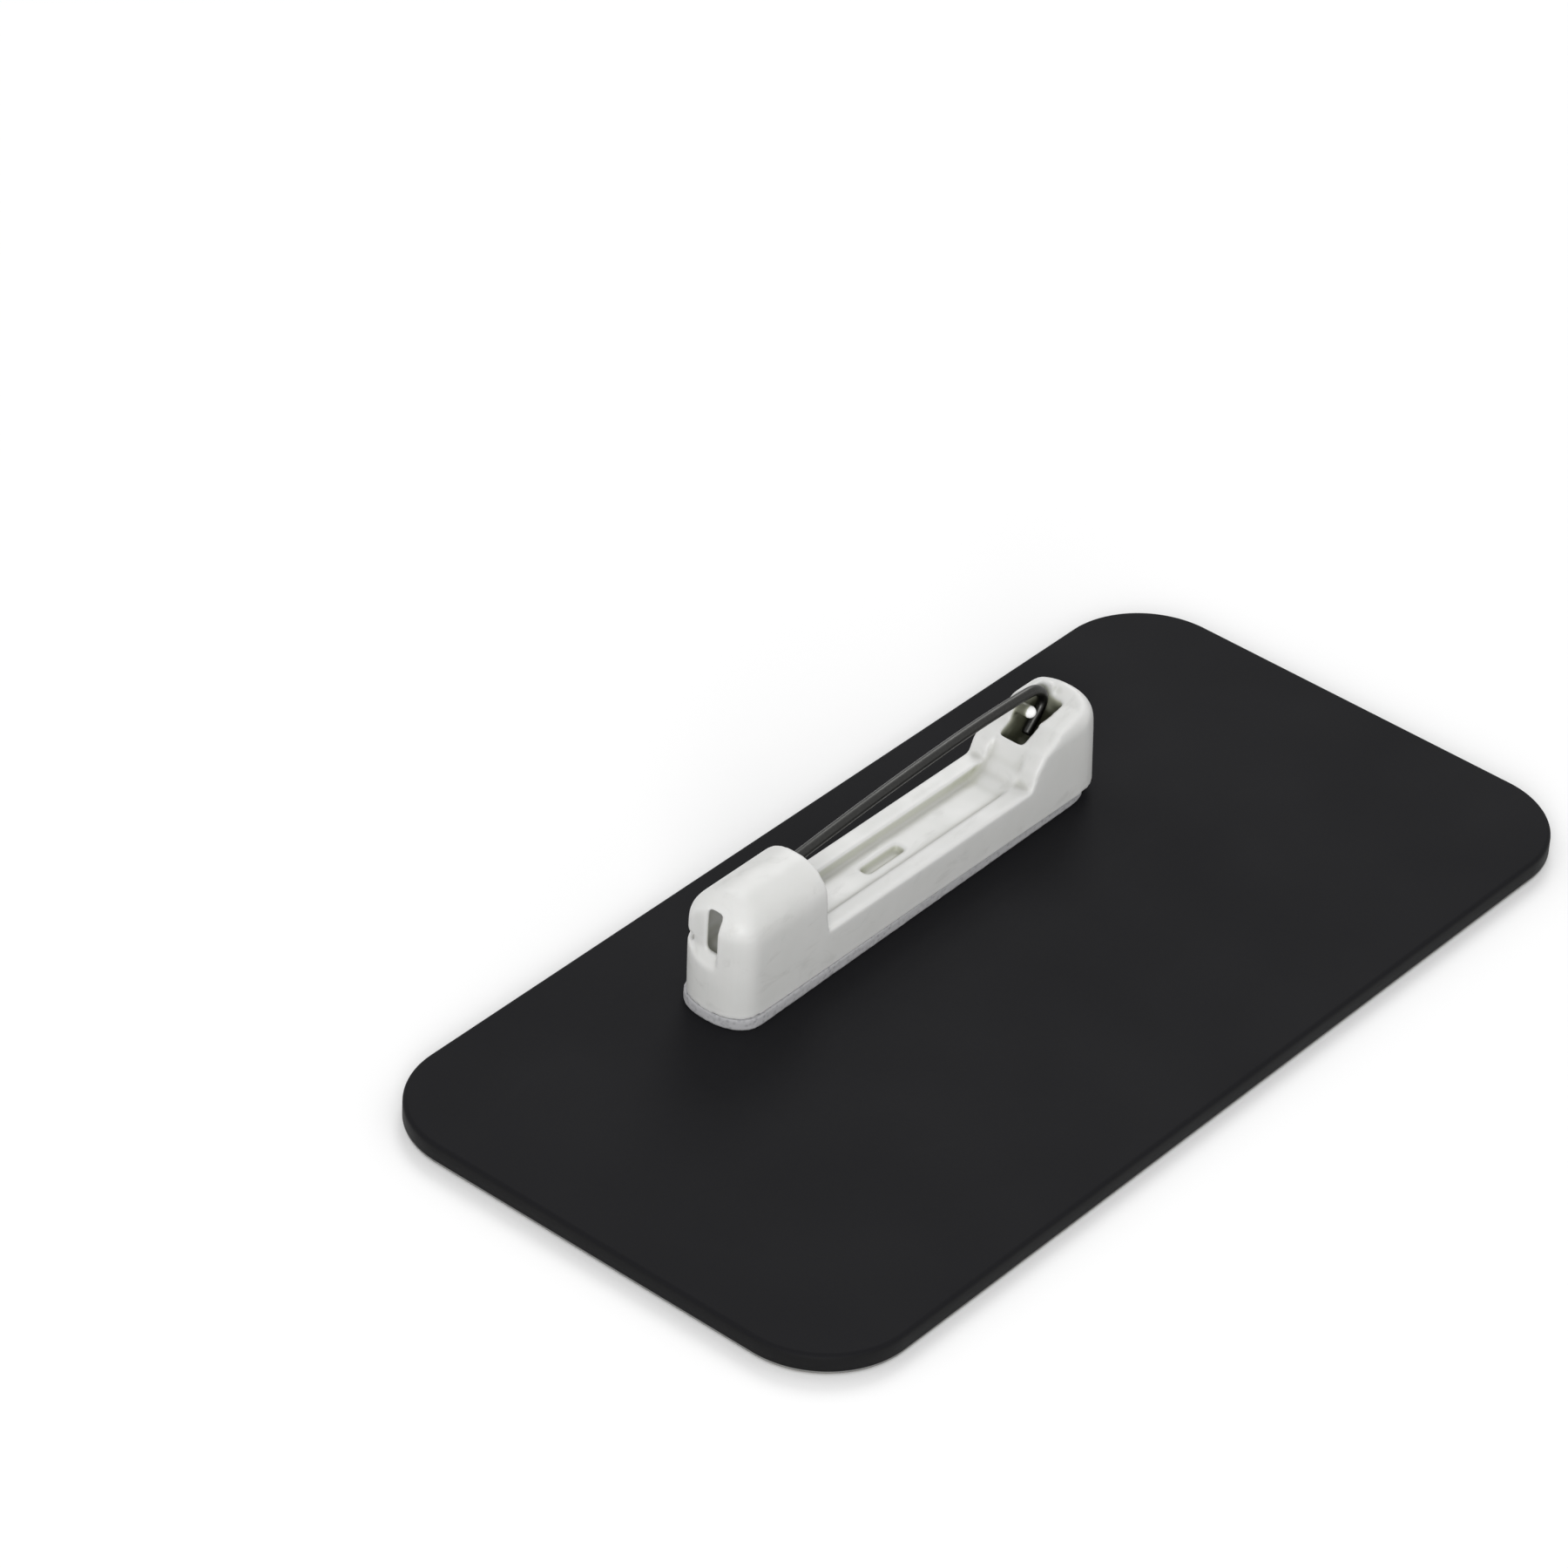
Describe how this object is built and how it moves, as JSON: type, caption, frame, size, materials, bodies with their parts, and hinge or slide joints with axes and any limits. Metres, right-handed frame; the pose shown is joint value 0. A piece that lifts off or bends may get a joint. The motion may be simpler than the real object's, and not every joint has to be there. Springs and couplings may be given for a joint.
{
  "type": "name badge with bar pin",
  "caption": "Blank two-layer name badge lying face down, gold satin face and black back, with a white plastic bar pin and a hooked steel stem.",
  "frame": {"origin": "centre of the plate's front face, which is the underside that the badge lies on", "axes": "+X along the plate's long edge towards the pin's hinge, +Y across the plate towards the edge that the pin is nearer to, +Z out of the plate's back"},
  "size_m": [0.0762, 0.0382, 0.0104],
  "materials": {
    "gold_face": "satin metallic gold film with a fine grain",
    "black_core": "matte black sheet plastic",
    "foam_tape": "pale foam tape with open cells at its cut edge",
    "white_plastic": "satin moulded white plastic",
    "steel_wire": "bright drawn steel wire"
  },
  "bodies": {
    "badge": {"face_cap": "gold_face", "plate_core": "black_core", "adhesive_pad": "foam_tape", "pin_body": "white_plastic"},
    "stem": {"pin_stem": "steel_wire"}
  },
  "joints": [
    {"name": "stem_swing", "type": "hinge", "parent": "badge", "child": "stem", "pos_m": [0.01397, 0.00947, 0.00867], "axis": [0, -0.7071, -0.7071], "range_deg": [0, 9], "stiffness_Nm_per_rad": 0.001, "springref_deg": -5.73}
  ]
}
